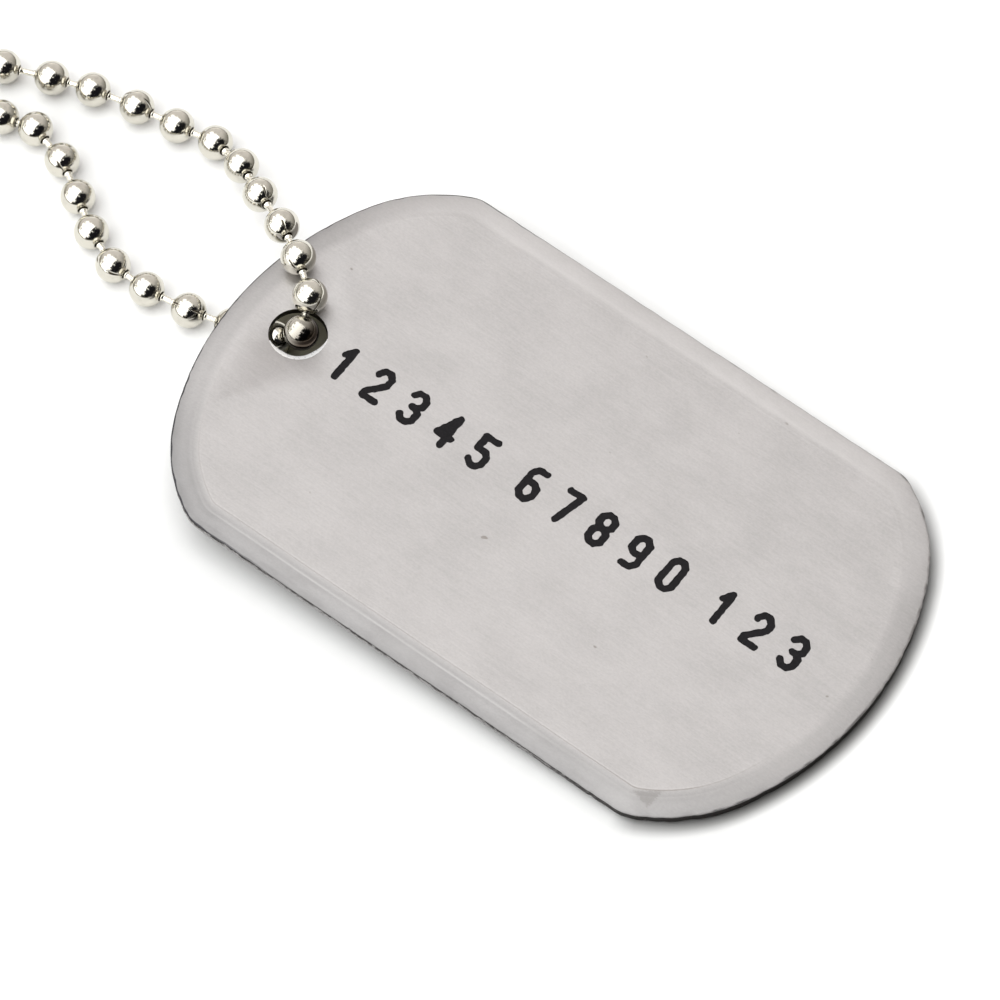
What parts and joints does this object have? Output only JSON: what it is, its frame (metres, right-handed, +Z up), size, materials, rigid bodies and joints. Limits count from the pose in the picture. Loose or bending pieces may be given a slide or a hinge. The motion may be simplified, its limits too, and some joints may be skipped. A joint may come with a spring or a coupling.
{
  "type": "identification dog tag on a ball chain",
  "caption": "Oblong stamped metal identification tag with rounded ends and a turned-down rim, lying on the closed ball chain that it is worn on.",
  "frame": {"origin": "on the ground, below the middle of the whole piece as it lies", "axes": "+X along the tag, away from its hole; +Y across the tag, towards the tops of its figures; +Z up from the ground"},
  "size_m": [0.2677, 0.1556, 0.0054],
  "materials": {
    "tag_metal": "fine brushing along the tag, slightly mottled, with bright rim creases",
    "chain_metal": "polished nickel plate",
    "clasp_metal": "polished nickel plate",
    "figure_black": "matt black filled into the stamped figures"
  },
  "bodies": {
    "root": {"tag_plate": "tag_metal", "chain_balls": "chain_metal", "chain_links": "chain_metal", "chain_clasp": "clasp_metal"}
  },
  "joints": []
}
